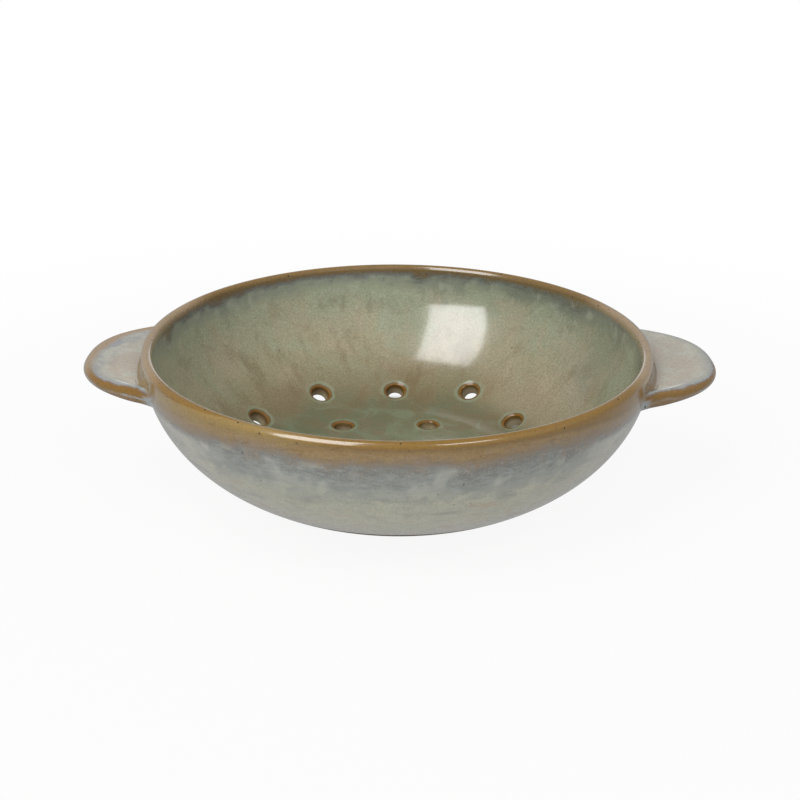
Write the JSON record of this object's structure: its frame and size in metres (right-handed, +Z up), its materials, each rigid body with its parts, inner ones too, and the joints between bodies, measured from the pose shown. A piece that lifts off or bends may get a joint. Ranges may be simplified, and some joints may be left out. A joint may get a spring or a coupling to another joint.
{
  "type": "fruit bowl",
  "caption": "Wide shallow stoneware bowl with a pierced floor for rinsing and draining fruit, a flat lug handle on each side and a foot ring.",
  "frame": {"origin": "on the table under the middle of the bowl, at the underside of the foot ring", "axes": "+X along the two handles, towards the right one in the picture; +Y away from the viewer; +Z up"},
  "size_m": [0.312, 0.25, 0.0798],
  "materials": {
    "wall_glaze": "glossy running glaze, sage and blue-grey, brown where it thins on the lip and the holes",
    "handle_glaze": "glossy pale grey-green glaze with brown edges",
    "seam_glaze": "glossy brown glaze, thin over the joint",
    "bare_clay": "unglazed fired clay, dry and slightly gritty"
  },
  "bodies": {
    "root": {"bowl_body": "wall_glaze", "foot_ring": "bare_clay", "right_handle": "handle_glaze", "right_upper_seam": "seam_glaze", "right_lower_seam": "seam_glaze", "left_handle": "handle_glaze", "left_upper_seam": "seam_glaze", "left_lower_seam": "seam_glaze"}
  },
  "joints": []
}
